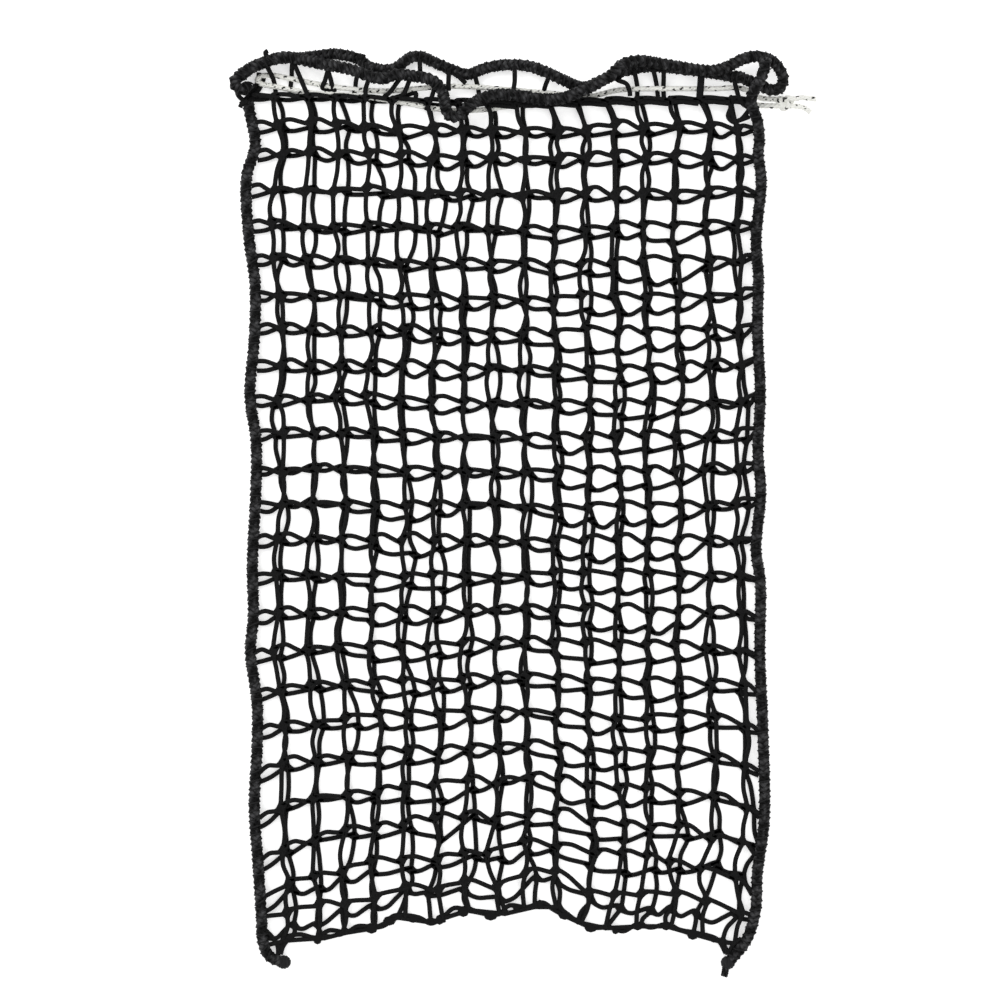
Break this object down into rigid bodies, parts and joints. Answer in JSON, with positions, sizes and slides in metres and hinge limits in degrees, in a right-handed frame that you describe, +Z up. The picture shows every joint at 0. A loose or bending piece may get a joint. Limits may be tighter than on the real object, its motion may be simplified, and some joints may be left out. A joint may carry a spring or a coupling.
{
  "type": "hay net",
  "caption": "Knotless square-mesh hay net bag laid flat, with roped edges, a loose roped mouth and a knotted white drawstring.",
  "frame": {"origin": "middle of the bag's underside, on the ground it lies on", "axes": "+Y along the bag towards its mouth, +X across it to the side where the drawstring leaves, +Z up out of the front panel"},
  "size_m": [0.6187, 0.9754, 0.038],
  "materials": {
    "net_twine": "matt braided polyethylene twine",
    "rope": "braided rope with a slight sheen",
    "drawstring": "white braided cord with black tracer yarns"
  },
  "bodies": {
    "bag": {"net_back": "net_twine", "net_front": "net_twine", "bottom_fold_twine": "net_twine", "side_rope_left": "rope", "side_rope_right": "rope", "rope_end_knob_left": "rope", "rope_end_knob_right": "rope", "rope_end_stub": "rope", "mouth_rope_front": "rope", "mouth_rope_back": "rope", "mouth_tie_front_01": "net_twine", "mouth_tie_front_02": "net_twine", "mouth_tie_front_03": "net_twine", "mouth_tie_front_04": "net_twine", "mouth_tie_front_05": "net_twine", "mouth_tie_front_06": "net_twine", "mouth_tie_front_07": "net_twine", "mouth_tie_front_08": "net_twine", "mouth_tie_front_09": "net_twine", "mouth_tie_front_10": "net_twine", "mouth_tie_front_11": "net_twine", "mouth_tie_front_12": "net_twine", "mouth_tie_back_01": "net_twine", "mouth_tie_back_02": "net_twine", "mouth_tie_back_03": "net_twine", "mouth_tie_back_04": "net_twine", "mouth_tie_back_05": "net_twine", "mouth_tie_back_06": "net_twine", "mouth_tie_back_07": "net_twine", "mouth_tie_back_08": "net_twine"},
    "drawstring": {"drawstring": "drawstring", "drawstring_knot": "drawstring", "drawstring_tail_upper": "drawstring", "drawstring_tail_lower": "drawstring"}
  },
  "joints": [
    {"name": "drawstring_pull", "type": "slide", "parent": "bag", "child": "drawstring", "axis": [1, 0, 0], "range_m": [0, 0.08]}
  ]
}
